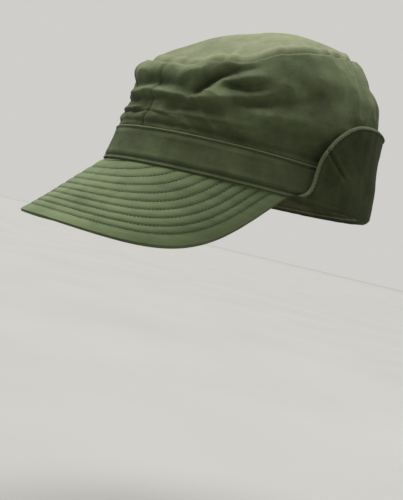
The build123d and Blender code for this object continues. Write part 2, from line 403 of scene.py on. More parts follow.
# ---- meshes -------------------------------------------------------------------------------
def quads(m: int, n: int, wraps: bool) -> np.ndarray:
    """The faces of a grid of m by n points, its first side closed on itself when it wraps."""
    i, j = np.meshgrid(np.arange(m if wraps else m - 1), np.arange(n - 1), indexing="ij")
    k = (i + 1) % m
    return np.stack([i * n + j, k * n + j, k * n + j + 1, i * n + j + 1], -1).reshape(-1, 4)


class Skin:
    """The points, cloth coordinates, wear and painted light, and faces of one piece, gathered part by part.
    """

    def __init__(self) -> None:
        """Start empty."""
        self.points: list[np.ndarray] = []
        self.cloth: list[np.ndarray] = []
        self.wear_and_painted_light: list[np.ndarray] = []
        self.faces: list[np.ndarray] = []
        self.slots: list[np.ndarray] = []
        self.count = 0

    def add_part(self, points: np.ndarray, cloth: np.ndarray, wear_and_painted_light: np.ndarray,
                 faces: np.ndarray, slots: np.ndarray) -> None:
        """Add a closed part, its faces turned outward.

        Args:
            points: shape (n, 3), in millimetres.
            cloth: shape (n, 2), each point's place on the flat cloth.
            wear_and_painted_light: shape (n,), 1 on a faded ridge or a painted highlight, -1 in painted
                shade.
            faces: shape (k, 4).
            slots: shape (k,), each face's finish.
        """
        a, b, c, d = (points[faces[:, k]] for k in range(4))
        volume = (a * (np.cross(b, c) + np.cross(c, d))).sum()
        self.faces.append((faces[:, ::-1] if volume < 0 else faces) + self.count)
        self.points.append(points)
        self.cloth.append(cloth)
        self.wear_and_painted_light.append(wear_and_painted_light)
        self.slots.append(slots)
        self.count += len(points)

    def add_shell(self, outer: np.ndarray, inner: np.ndarray, cloth: np.ndarray, wear_and_painted_light: np.ndarray,
                  wraps: bool = False, slot_outer: np.ndarray | int = 0, slot_inner: int = 0) -> None:
        """Add a layer of cloth between two grids of the same shape.

        Args:
            outer: shape (m, n, 3).
            inner: shape (m, n, 3).
            cloth: shape (m, n, 2).
            wear_and_painted_light: shape (m, n), for the outer grid.
            wraps: the grid's first side is closed on itself.
            slot_outer: the finish of the outer faces, one or shape (m, n) by their first point.
            slot_inner: the finish of the inner faces.
        """
        m, n = outer.shape[:2]
        front = quads(m, n, wraps)
        i = np.arange(m if wraps else m - 1)
        k, half = (i + 1) % m, m * n
        rims = [np.stack([k * n, i * n, i * n + half, k * n + half], -1),
                np.stack([i * n + n - 1, k * n + n - 1, k * n + n - 1 + half, i * n + n - 1 + half], -1)]
        if not wraps:
            j, last = np.arange(n - 1), (m - 1) * n
            rims += [np.stack([j, j + 1, j + 1 + half, j + half], -1),
                     np.stack([last + j + 1, last + j, last + j + half, last + j + 1 + half], -1)]
        rim = np.concatenate(rims)
        if isinstance(slot_outer, np.ndarray):
            slot_front = slot_outer.reshape(-1)[front[:, 0]]
            slot_rim = slot_outer.reshape(-1)[np.minimum(rim[:, 0], half - 1)]
        else:
            slot_front, slot_rim = np.full(len(front), slot_outer), np.full(len(rim), slot_outer)
        self.add_part(
            np.concatenate([outer.reshape(-1, 3), inner.reshape(-1, 3)]),
            np.concatenate([cloth.reshape(-1, 2)] * 2),
            np.concatenate([wear_and_painted_light.reshape(-1), np.zeros(half)]),
            np.concatenate([front, front[:, ::-1] + half, rim]),
            np.concatenate([slot_front, np.full(len(front), slot_inner), slot_rim]),
        )

    def add_stitches(self, centres: np.ndarray, along: np.ndarray, up: np.ndarray, slot: int = 0,
                     length: float = 2.0, radius: float = 0.27) -> None:
        """Add a row of sewn stitches, each a short thread that dips into the cloth at its ends.

        Args:
            centres: shape (n, 3).
            along: unit directions of the row, shape (n, 3).
            up: unit normals of the cloth, shape (n, 3).
            slot: the thread's finish.
            length: a stitch's length.
            radius: the thread's radius.
        """
        t = np.array([-1.0, -0.8, 0.0, 0.8, 1.0])
        thick = np.array([0.35, 0.85, 1.0, 0.85, 0.35]) * radius
        lift = radius * 0.55 * (1 - 1.6 * t**2)
        turn = np.arange(6) * math.pi / 3
        side = np.cross(up, along)
        rings = (centres[:, None, None, :]
                 + along[:, None, None, :] * (t * length / 2)[None, :, None, None]
                 + up[:, None, None, :] * (lift[:, None] + thick[:, None] * np.sin(turn))[None, :, :, None]
                 + side[:, None, None, :] * (thick[:, None] * np.cos(turn))[None, :, :, None])
        a, b = np.meshgrid(np.arange(4), np.arange(6), indexing="ij")
        c = (b + 1) % 6
        tube = np.stack([a * 6 + b, a * 6 + c, a * 6 + 6 + c, a * 6 + 6 + b], -1).reshape(-1, 4)
        caps = np.array([[3, 2, 1, 0], [5, 4, 3, 0], [24, 25, 26, 27], [24, 27, 28, 29]])
        one = np.concatenate([tube, caps])
        count = len(centres)
        faces = (one[None] + (np.arange(count) * 30)[:, None, None]).reshape(-1, 4)
        flat = np.stack(np.broadcast_arrays(t[:, None] * length / 2, turn[None] * radius), -1)
        cloth = (flat.reshape(1, 30, 2) + np.arange(count)[:, None, None] * 3.1).reshape(-1, 2)
        self.add_part(rings.reshape(-1, 3), cloth, np.zeros(count * 30), faces,
                      np.full(len(faces), slot))

    def make(self, name: str, finishes: list[bpy.types.Material]) -> bpy.types.Object:
        """Make the object, in metres.

        Args:
            name: the piece's name.
            finishes: its materials, in slot order.

        Returns:
            The new object.
        """
        points = np.concatenate(self.points) * MM
        faces, slots = np.concatenate(self.faces), np.concatenate(self.slots)
        cloth, wear_and_painted_light = np.concatenate(self.cloth) * MM, np.concatenate(self.wear_and_painted_light)
        mesh = bpy.data.meshes.new(name)
        mesh.vertices.add(len(points))
        mesh.vertices.foreach_set("co", points.astype(np.float32).ravel())
        mesh.loops.add(faces.size)
        mesh.loops.foreach_set("vertex_index", faces.astype(np.int32).ravel())
        mesh.polygons.add(len(faces))
        mesh.polygons.foreach_set("loop_start", np.arange(0, faces.size, 4, dtype=np.int32))
        mesh.update(calc_edges=True)
        mesh.validate()
        mesh.uv_layers.new(name="cloth").data.foreach_set(
            "uv", cloth[faces.ravel()].astype(np.float32).ravel())
        mesh.attributes.new("wear_and_painted_light", "FLOAT", "POINT").data.foreach_set(
            "value", np.clip(wear_and_painted_light, -1, 1).astype(np.float32))
        for finish in finishes:
            mesh.materials.append(finish)
        mesh.polygons.foreach_set("material_index", slots.astype(np.int32))
        mesh.shade_smooth()
        piece = bpy.data.objects.new(name, mesh)
        bpy.context.scene.collection.objects.link(piece)
        log.info("%s: %d points", name, len(points))
        return piece


# ---- crown --------------------------------------------------------------------------------
@dataclass(frozen=True)
class Fold:
    """A ridge, when height is above 0, or a hollow along a line on the crown's wall."""

    height: float
    width: float
    line: tuple[tuple[float, float], ...]


LEFT_FOLDS = (
    Fold(3.4, 5.5, ((-8, .47), (-2, .46), (11, .51), (19, .48), (35, .45), (46, .46), (56, .50),
                    (69, .56))),
    Fold(-4.2, 6.0, ((-24, .60), (-9, .585), (6, .61), (18, .60), (28, .57))),
    Fold(3.2, 13.0, ((-22, .77), (-10, .77), (5, .79))),
    Fold(-2.6, 9.0, ((-22, .33), (-5, .33), (11, .33), (5, .20))),
    Fold(1.8, 5.0, ((-20, .26), (-6, .24), (6, .27))),
    Fold(-4.4, 5.5, ((33, .50), (37, .55), (41, .62), (46, .72), (52, .75))),
    Fold(2.4, 6.0, ((26, .62), (31, .72), (38, .80))),
    Fold(-2.6, 2.6, ((34.5, .47), (38, .555), (41.5, .65), (46, .73), (52, .78))),
    Fold(-2.2, 2.8, ((50, .605), (57, .59), (62, .583), (67, .602))),
    Fold(-1.8, 2.6, ((55, .44), (60, .434), (67, .46))),
    Fold(-1.8, 2.4, ((-12, .40), (0, .405), (12, .40), (22, .41), (31, .385))),
    Fold(-1.5, 2.4, ((-14, .20), (2, .19), (15, .215), (27, .16))),
    Fold(-3.4, 4.5, ((50, .605), (58, .615), (66, .65))),
    Fold(2.6, 6.5, ((54, .70), (60, .705), (67, .72))),
    Fold(-2.2, 5.0, ((50, .81), (56, .80), (62, .82))),
    Fold(-3.2, 7.5, ((56, .46), (69, .46), (84, .53))),
    Fold(2.2, 6.0, ((44, .54), (49, .66), (54, .66))),
    Fold(-2.8, 6.0, ((27, .27), (39, .33), (50, .31))),
    Fold(1.8, 5.0, ((14, .20), (33, .24), (42, .22), (60, .21))),
    Fold(1.6, 6.0, ((60, .35), (74, .37), (88, .34))),
    Fold(-1.8, 8.0, ((74, .22), (86, .20), (98, .25))),
    Fold(1.8, 12.0, ((88, .74), (104, .68), (116, .70))),
    Fold(1.4, 12.0, ((80, .33), (98, .48), (112, .52))),
    Fold(-1.8, 9.0, ((84, .62), (92, .56), (104, .58))),
    Fold(-1.6, 7.0, ((112, .38), (126, .44), (138, .42))),
    Fold(1.8, 7.0, ((118, .56), (132, .60), (144, .58))),
    Fold(-2.0, 7.0, ((128, .72), (140, .70), (152, .74))),
)
BACK_FOLDS = (
    Fold(2.2, 7.0, ((150, .50), (166, .54), (182, .52), (198, .55))),
    Fold(-2.6, 6.5, ((154, .63), (170, .66), (190, .64), (205, .67))),
    Fold(-1.8, 8.0, ((160, .34), (178, .38), (196, .35))),
    Fold(2.0, 10.0, ((168, .80), (185, .78), (200, .81))),
)


@dataclass
class CrownShape:
    """The crown's soft wall and domed top, as it hangs on a head.

    A row is: place from the band (0) to the top seam (1), half width, half length, centre, height
    and slope towards the back.
    """

    rows: tuple[tuple[float, ...], ...] = (
        (-0.30, 85.3, 103.2, 0.0, 1.0, 0.00),
        (0.00, 81.0, 98.9, 0.2, 25.0, 0.00),
        (0.35, 84.0, 98.3, 1.5, 52.0, 0.10),
        (0.70, 81.0, 91.5, -2.5, 83.0, 0.22),
        (0.90, 76.0, 83.5, -6.5, 99.0, 0.30),
        (1.00, 71.5, 77.5, -9.0, 103.0, 0.335),
    )
    slump: float = 0.05
    wall_mm: float = 80.0
    degree_mm: float = 1.55
    dome_height: float = 22.0
    fold_scale: float = 1.2
    back_pull: float = 5.0
    folds: tuple[Fold, ...] = field(default_factory=lambda: LEFT_FOLDS + BACK_FOLDS + tuple(
        Fold(f.height * 0.85, f.width * 1.1, tuple((-a * 0.96 - 9, s * 0.95 + 0.015) for a, s in f.line))
        for f in LEFT_FOLDS[6:]))

    def smooth(self, angle: np.ndarray, s: np.ndarray) -> np.ndarray:
        """The wall without its folds."""
        table = np.array(self.rows)
        values = smooth_rows(table, np.asarray(s, float))
        half_x, half_y, centre, height, slope = np.moveaxis(values, -1, 0)
        turn = np.radians(angle)
        pull = self.back_pull * bell(np.abs(from_front(angle)), 148, 42)
        pull = pull * smoothstep(s, 0.55, 0.95)
        x, y = (half_x - pull) * np.sin(turn), centre - (half_y - pull) * np.cos(turn)
        rise = np.clip(s, 0, 1)
        z = height + slope * y - 0.9 * pull - self.slump * rise * x
        z = z + self.seam_wander(angle) * smoothstep(s, 0.72, 1.0)
        return np.stack(np.broadcast_arrays(x, y, z), -1)

    def seam_wander(self, angle: np.ndarray) -> np.ndarray:
        """How far the top seam sags or stands above its plane."""
        a = from_front(angle)
        sag = -4.0 * bell(a, 27, 9) - 1.6 * bell(a, 12, 7) + 3.2 * bell(a, 84, 24) - 2.6 * bell(a, 59, 8)
        return sag - 3.0 * bell(a, -52, 14) + 3.2 * bell(a, -96, 30) + 1.5 * bell(a, 170, 20)

    def relief(self, angle: np.ndarray, s: np.ndarray, base: np.ndarray) -> np.ndarray:
        """How far the wall's folds stand off it."""
        a = from_front(angle)
        place = np.stack(np.broadcast_arrays(a * self.degree_mm, s * self.wall_mm), -1)
        total = np.zeros(place.shape[:-1])
        for fold in self.folds:
            line = np.array(fold.line) * (self.degree_mm, self.wall_mm)
            if line[:, 0].max() > 180 * self.degree_mm:
                far, along = line_distance(
                    np.stack([place[..., 0] % (360 * self.degree_mm), place[..., 1]], -1), line)
            else:
                far, along = line_distance(place, line)
            ends = 0.35 + 0.65 * np.clip(np.sin(np.pi * np.clip(along, 0.02, 0.98)), 0, 1) ** 0.5
            crest = np.exp(-((far / fold.width) ** 2 + 0.04) ** 0.72)
            total += self.fold_scale * fold.height * ends * crest
        spot = base / 26.0
        total += 1.1 * soft_noise(spot, 3)
        across = np.stack([place[..., 0] / 30, place[..., 1] / 8.5, 0 * place[..., 0]], -1)
        total += 0.55 * soft_noise(across + soft_noise(base / 18.0, 5)[..., None] * 0.8, 7)
        creases = 1 - np.abs(soft_noise(base / 15.0 + soft_noise(base / 30.0, 29)[..., None], 37)) * 2.2
        total += 0.9 * (np.clip(creases, -0.2, 1) - 0.3)
        total += 0.16 * soft_noise(base / 5.5, 11)
        total += -1.1 * bell(s, 0.045, 0.03)
        # Gathers run down from the top seam, and fade within 12 mm.
        gathers = soft_noise(np.stack([place[..., 0] / 5.0, place[..., 1] / 40, 0 * place[..., 0]], -1), 13)
        total += 0.35 * gathers * smoothstep(s, 0.84, 0.97)
        return total * smoothstep(s, 0.0, 0.05)

    def seams(self, angle: np.ndarray, s: np.ndarray) -> np.ndarray:
        """How deep the wall dips along its seams."""
        a = from_front(angle)
        depth = np.zeros(np.broadcast(a, s).shape)
        for seam in (FRONT_SEAM, -FRONT_SEAM, BACK_SEAM, -BACK_SEAM):
            depth += 0.75 * bell((a - seam) * self.degree_mm, 0, 1.1)
            depth -= 0.30 * bell((a - seam) * self.degree_mm, -3.2, 1.5)
        depth += 1.9 * bell((1 - s) * self.wall_mm, 0, 1.3)
        return depth - 0.55 * bell((1 - s) * self.wall_mm, 3.6, 2.2)

    def wall(self, angle: np.ndarray, s: np.ndarray) -> tuple[np.ndarray, np.ndarray]:
        """The wall with its folds and seams.

        Args:
            angle: shape (m, n).
            s: shape (m, n), 0 at the band and 1 at the top seam.

        Returns:
            The points, and the relief that colours them.
        """
        angle, s = np.broadcast_arrays(np.asarray(angle, float), np.asarray(s, float))
        base = self.smooth(angle, s)
        step = 0.3
        across = self.smooth(angle + step, s) - self.smooth(angle - step, s)
        up = self.smooth(angle, s + 0.01) - self.smooth(angle, s - 0.01)
        normal = np.cross(across, up)
        normal /= np.linalg.norm(normal, axis=-1, keepdims=True)
        relief = self.relief(angle, s, base)
        return base + normal * (relief - self.seams(angle, s))[..., None], relief

    def top(self, x: np.ndarray, y: np.ndarray) -> tuple[np.ndarray, np.ndarray]:
        """The domed top, from the seam's curve.

        Args:
            x: place across the unit disc, to the wearer's left.
            y: place along the unit disc, to the back.

        Returns:
            The points, and the relief that colours them, with a painted dark line along the seam.
        """
        ring_angle = np.arange(-180.0, 181.0, 0.5)
        ring, _ = self.wall(ring_angle, np.ones_like(ring_angle))
        centre = ring[:-1].mean(0)
        angle = np.degrees(np.arctan2(x, -y))
        r = np.clip(np.hypot(x, y), 0, 1)
        # The seam's small waves fade within 20 mm, so they do not reach the middle of the dome.
        spread = np.exp(-0.5 * (np.arange(-50, 51) / 18.0) ** 2)
        calm = np.stack([np.convolve(np.pad(ring[:-1, k], 50, mode="wrap"), spread / spread.sum(), "valid")
                         for k in range(3)], -1)
        calm = np.concatenate([calm, calm[:1]])
        share = smoothstep(r, 0.70, 1.0)[..., None]
        edge = np.stack([np.interp(angle, ring_angle, ring[:, k]) for k in range(3)], -1) * share
        edge += np.stack([np.interp(angle, ring_angle, calm[:, k]) for k in range(3)], -1) * (1 - share)
        points = centre + (edge - centre) * r[..., None]
        points[..., 2] += self.dome_height * (1 - r**2) ** 0.75
        far = (1 - r) * 74
        relief = 1.3 * soft_noise(points / 34.0, 17) + 0.35 * soft_noise(points / 11.0, 19)
        flow = np.stack([angle * self.degree_mm / 6.0, far / 50, 0 * r], -1)
        relief += 0.7 * soft_noise(flow, 23) * smoothstep(-far, -16, -1)
        relief += 1.1 * bell(far, 4.0, 2.6)
        points[..., 2] += relief * smoothstep(far, 0, 2.4)
        # The colour is the relief with a painted dark line along the seam, painted shade in its groove.
        return points, relief - 9.0 * bell(far, 0.0, 0.9)


@dataclass
class Crown:
    """The crown: four wall panels and the domed top, cut from one soft shape."""

    finishes: Finishes
    shape: CrownShape = field(default_factory=CrownShape)
    column_deg: float = 0.42
    rows: int = 130
    tuck: float = -0.16
    tape_half: float = 3.3

    def panel(self, name: str, first: float, last: float) -> None:
        """Make one wall panel between two angles."""
        gap = 0.03
        count = int((last - first) / self.column_deg) + 1
        angle = np.linspace(first + gap, last - gap, count)[:, None]
        s = np.linspace(self.tuck, 1.0, self.rows)[None, :]
        points, relief = self.shape.wall(angle, s)
        normal = grid_normals(points)
        cloth = np.stack(np.broadcast_arrays(angle * self.shape.degree_mm, s * self.shape.wall_mm), -1)
        skin = Skin()
        # The wall is painted paler towards the top seam and darker towards the band, painted light from
        # above. Its ridges are paler, its hollows take painted shade, and a painted dark line runs along
        # the top seam.
        wear_and_painted_light = relief / 4.5 + 1.3 * (s - 0.55) - 2.6 * bell((1 - s) * self.shape.wall_mm, 0.0, 0.9)
        skin.add_shell(points, points - normal * CLOTH, cloth, wear_and_painted_light)
        piece = skin.make(name, [self.finishes.poplin])
        dress(piece, "cap", [name.replace("_cloth", "")])

    def top(self) -> None:
        """Make the domed top, on a grid that has no pole."""
        line = np.linspace(-1, 1, 241)
        u, v = np.meshgrid(line, line, indexing="ij")
        x, y = u * np.sqrt(1 - v**2 / 2), v * np.sqrt(1 - u**2 / 2)
        points, relief = self.shape.top(x, y)
        normal = grid_normals(points)
        edge = smoothstep(1 - np.hypot(x, y), 0.0, 0.02)[..., None]
        # The corners of the grid have no normal of their own, so the cloth thins towards the seam.
        inner = points - np.where(edge > 0, normal, 0) * CLOTH * edge - (0, 0, 0.25)
        cloth = np.stack([x * 72, y * 80], -1)
        skin = Skin()
        # Raised places are painted paler, and low places and the seam darker: painted light and shade.
        skin.add_shell(points, inner, cloth, relief / 3.0)
        piece = skin.make("crown_top_panel_cloth", [self.finishes.faded])
        dress(piece, "cap", ["crown_top_panel"])

    def strip(self, name: str, angle: np.ndarray, s: np.ndarray, node: str, wraps: bool = False) -> None:
        """Make a tape that lies on the inside of the wall.

        Args:
            name: the piece's name.
            angle: shape (m, 1).
            s: shape (1, n).
            node: the CAD node it stands for.
            wraps: the tape runs all the way round.
        """
        points, _ = self.shape.wall(angle, s)
        normal = grid_normals(points, wraps)
        wide = np.broadcast_to((s - s.mean()) / np.ptp(s) * 2, points.shape[:2])
        deep = np.broadcast_to((angle - angle.mean()) / max(np.ptp(angle), 1e-9) * 2, points.shape[:2])
        across = deep if not wraps else wide
        swell = 0.5 + 0.35 * (1 - across**2) - 0.25 * bell(np.abs(across), 0.72, 0.12)
        near = points - normal * (CLOTH + 0.25)
        cloth = np.stack(np.broadcast_arrays(s * self.shape.wall_mm, angle * self.shape.degree_mm), -1)
        skin = Skin()
        skin.add_shell(near - normal * swell[..., None], near, cloth, np.zeros(points.shape[:2]), wraps)
        dress(skin.make(name, [self.finishes.tape]), "cap", [node])

    def build(self) -> None:
        """Make every piece of the crown."""
        self.panel("crown_front_panel_cloth", -FRONT_SEAM, FRONT_SEAM)
        self.panel("crown_side_panel_left_cloth", FRONT_SEAM, BACK_SEAM)
        self.panel("crown_back_panel_cloth", BACK_SEAM, 360 - BACK_SEAM)
        self.panel("crown_side_panel_right_cloth", -BACK_SEAM, -FRONT_SEAM)
        self.top()
        along = np.linspace(0.17, 0.93, 90)[None, :]
        for end, place in (("front", FRONT_SEAM), ("back", BACK_SEAM)):
            for side, seam in (("left", place), ("right", -place)):
                angle = np.linspace(seam - self.tape_half, seam + self.tape_half, 15)[:, None]
                self.strip(f"{end}_seam_tape_{side}_cloth", angle, along, f"{end}_seam_tape_{side}")
        self.strip("top_seam_binding_cloth", np.arange(0, 360, 1.0)[:, None],
                   np.linspace(0.925, 0.99, 12)[None, :], "top_seam_binding", wraps=True)


# ---- band and sweatband -------------------------------------------------------------------
def wall_point(angle: np.ndarray, out: np.ndarray, z: np.ndarray) -> np.ndarray:
    """A point of the band's leaning wall, out from its outer face."""
    turn = np.radians(angle)
    lean = out - BAND_LEAN * np.asarray(z)
    x, y = (RIM_X + lean) * np.sin(turn), -(RIM_Y + lean) * np.cos(turn)
    return np.stack(np.broadcast_arrays(x, y, z), -1)


@dataclass
class Band:
    """The folded outer band, its two rows of stitching, and the sweatband inside."""

    finishes: Finishes
    columns: int = 900
    seam_inset: float = 2.5

    def face(self, angle: np.ndarray, z: np.ndarray) -> tuple[np.ndarray, np.ndarray]:
        """How far the band's face stands out, and how its colour shifts: paler lips from wear and a painted
        highlight, darker overall, painted shade beside the seams and in its dents, and the flap's painted
        shadow.
        """
        turn = np.radians(angle)
        place = np.stack(np.broadcast_arrays(np.sin(turn) * 3.4, np.cos(turn) * 4.1, z / 30), -1)
        dents = 0.95 * soft_noise(place, 31) + 0.45 * soft_noise(place * 2.7, 37)
        near = np.minimum(z, BAND_HEIGHT - z)
        lips = 0.50 * bell(near, 0.7, 0.65)
        tick = np.abs(np.sin(np.pi * np.asarray(angle) * self.columns / 360 / 3.9))
        grooves = -(0.42 + 0.14 * tick) * bell(near, self.seam_inset, 0.55)
        puffed = 0.25 * bell(z, 5.2, 2.0) + 0.25 * bell(z, 20.0, 2.0)
        inside = np.clip((near - 1.5) / 4, 0, 1)
        out = dents * inside + lips + grooves + puffed
        # The band is painted darker near the flap's ends, a painted shadow of the flap.
        flap_shadow = 0.45 * bell(np.abs(from_front(angle)), 78, 26)
        # The rolled lips are painted paler: wear on the edge and a painted highlight.
        rolled = 2.2 * bell(near, 0.45, 0.55)
        # Painted shade beside the rows of stitching.
        shade_beside_seams = 0.3 * (bell(z, 3.6, 0.8) + bell(z, 21.3, 0.8))
        # The whole band is darker. Its dents take painted shade, and the places between them are paler.
        return out, rolled - 0.55 - flap_shadow + 0.55 * dents * inside - shade_beside_seams

    def build(self) -> None:
        """Make the band, the sweatband, their stitching and the label."""
        angle = np.arange(self.columns)[:, None] * 360 / self.columns
        # Behind the turned-up flap the cloth runs 1 mm further down, into the fold.
        low = 0.15 - 0.95 * smoothstep(np.minimum(angle, 360 - angle), 93, 99)
        high = BAND_HEIGHT - 0.15
        z = low + (high - low) * np.linspace(0, 1, 68)[None, :]
        out, wear_and_painted_light = self.face(angle, z)
        # The folded edges round over, top and bottom.
        near = np.minimum(z, BAND_HEIGHT - z)
        round_over = 0.75 * (1 - np.sqrt(1 - np.clip(1 - near / 0.9, 0, 0.98) ** 2))
        outer = wall_point(angle, out - round_over, z)
        inner = wall_point(angle, -1.0 + 0 * out, z)
        cloth = np.stack(np.broadcast_arrays(angle * 1.68, z), -1)
        skin = Skin()
        skin.add_shell(outer, inner, cloth, wear_and_painted_light, wraps=True)
        dress(skin.make("outer_band_cloth", [self.finishes.poplin]), "cap", ["outer_band"])
        for name, height in (("band_bottom_stitching", self.seam_inset),
                             ("band_top_stitching", BAND_HEIGHT - self.seam_inset)):
            self.stitch_ring(name + "_thread", name, height, -0.30)
        self.sweatband()

    def stitch_ring(self, name: str, node: str, height: float, out: float, inward: bool = False) -> None:
        """Make a ring of stitches on the wall.

        Args:
            name: the piece's name.
            node: the CAD node it stands for.
            height: the row's height.
            out: how far out it lies.
            inward: the stitches face the head.
        """
        fine = np.linspace(0, 360, 2161)
        line = wall_point(fine, out, height)
        at = resample(line, STITCH_PITCH)
        centres = np.stack([np.interp(at, np.arange(len(line)), line[:, k]) for k in range(3)], -1)
        angle = np.interp(at, np.arange(len(line)), fine)
        ahead = wall_point(angle + 0.1, out, height) - wall_point(angle - 0.1, out, height)
        ahead /= np.linalg.norm(ahead, axis=-1, keepdims=True)
        up = np.cross(ahead, (0.0, 0.0, 1.0)) * (-1 if inward else 1)
        skin = Skin()
        skin.add_stitches(centres, ahead, up)
        dress(skin.make(name, [self.finishes.thread]), "cap", [node])

    def sweatband(self) -> None:
        """Make the sweatband with its soft ripples, its stitching and the blank label."""
        angle = np.arange(720)[:, None] / 2.0
        z = np.linspace(0.5, 31.6, 60)[None, :]
        place = np.stack(np.broadcast_arrays(
            np.sin(np.radians(angle)) * 9, np.cos(np.radians(angle)) * 9, z / 22), -1)
        ripple = 0.5 * soft_noise(place, 41) * smoothstep(z, 4, 12)
        edge = np.minimum(z - 0.5, 31.6 - z)
        thick = 1.05 * np.sqrt(1 - np.clip(1 - edge / 0.8, 0, 0.97) ** 2)
        groove = 0.35 * bell(z, 2.9, 0.6) + 0.35 * bell(z, 29.0, 0.6)
        outer = wall_point(angle, -2.35 - ripple * 0.5, z)
        inner = wall_point(angle, -2.35 - ripple - thick + groove, z)
        cloth = np.stack(np.broadcast_arrays(angle * 1.65, z), -1)
        skin = Skin()
        # Its colour follows the ripples, paler where they stand out and painted shade in their hollows, and
        # it is paler along its top edge.
        skin.add_shell(inner, outer, cloth, ripple + 0.8 * bell(z, 31.2, 0.8), wraps=True)
        dress(skin.make("sweatband_cloth", [self.finishes.sweatband]), "cap",
              ["sweatband"])
        self.stitch_ring("sweatband_stitching_thread", "sweatband_stitching", 2.9, -3.0, inward=True)
        # The label sits at the back, sewn along its long edges.
        angle = np.linspace(171.8, 188.2, 60)[:, None]
        z = np.linspace(8.0, 22.0, 40)[None, :]
        side = np.minimum(np.minimum(z - 8.0, 22.0 - z), (8.2 - np.abs(angle - 180)) * 1.6)
        lift = 0.45 * np.sqrt(1 - np.clip(1 - side / 0.6, 0, 0.9) ** 2) - 0.2 * bell(side, 1.6, 0.5)
        outer = wall_point(angle, -3.75 - lift, z)
        cloth = np.stack(np.broadcast_arrays(angle * 1.5, z), -1)
        skin = Skin()
        skin.add_shell(outer, wall_point(angle, -3.2 + 0 * lift, z), cloth, 0 * lift)
        dress(skin.make("size_label_cloth", [self.finishes.label]), "cap", ["size_label"])


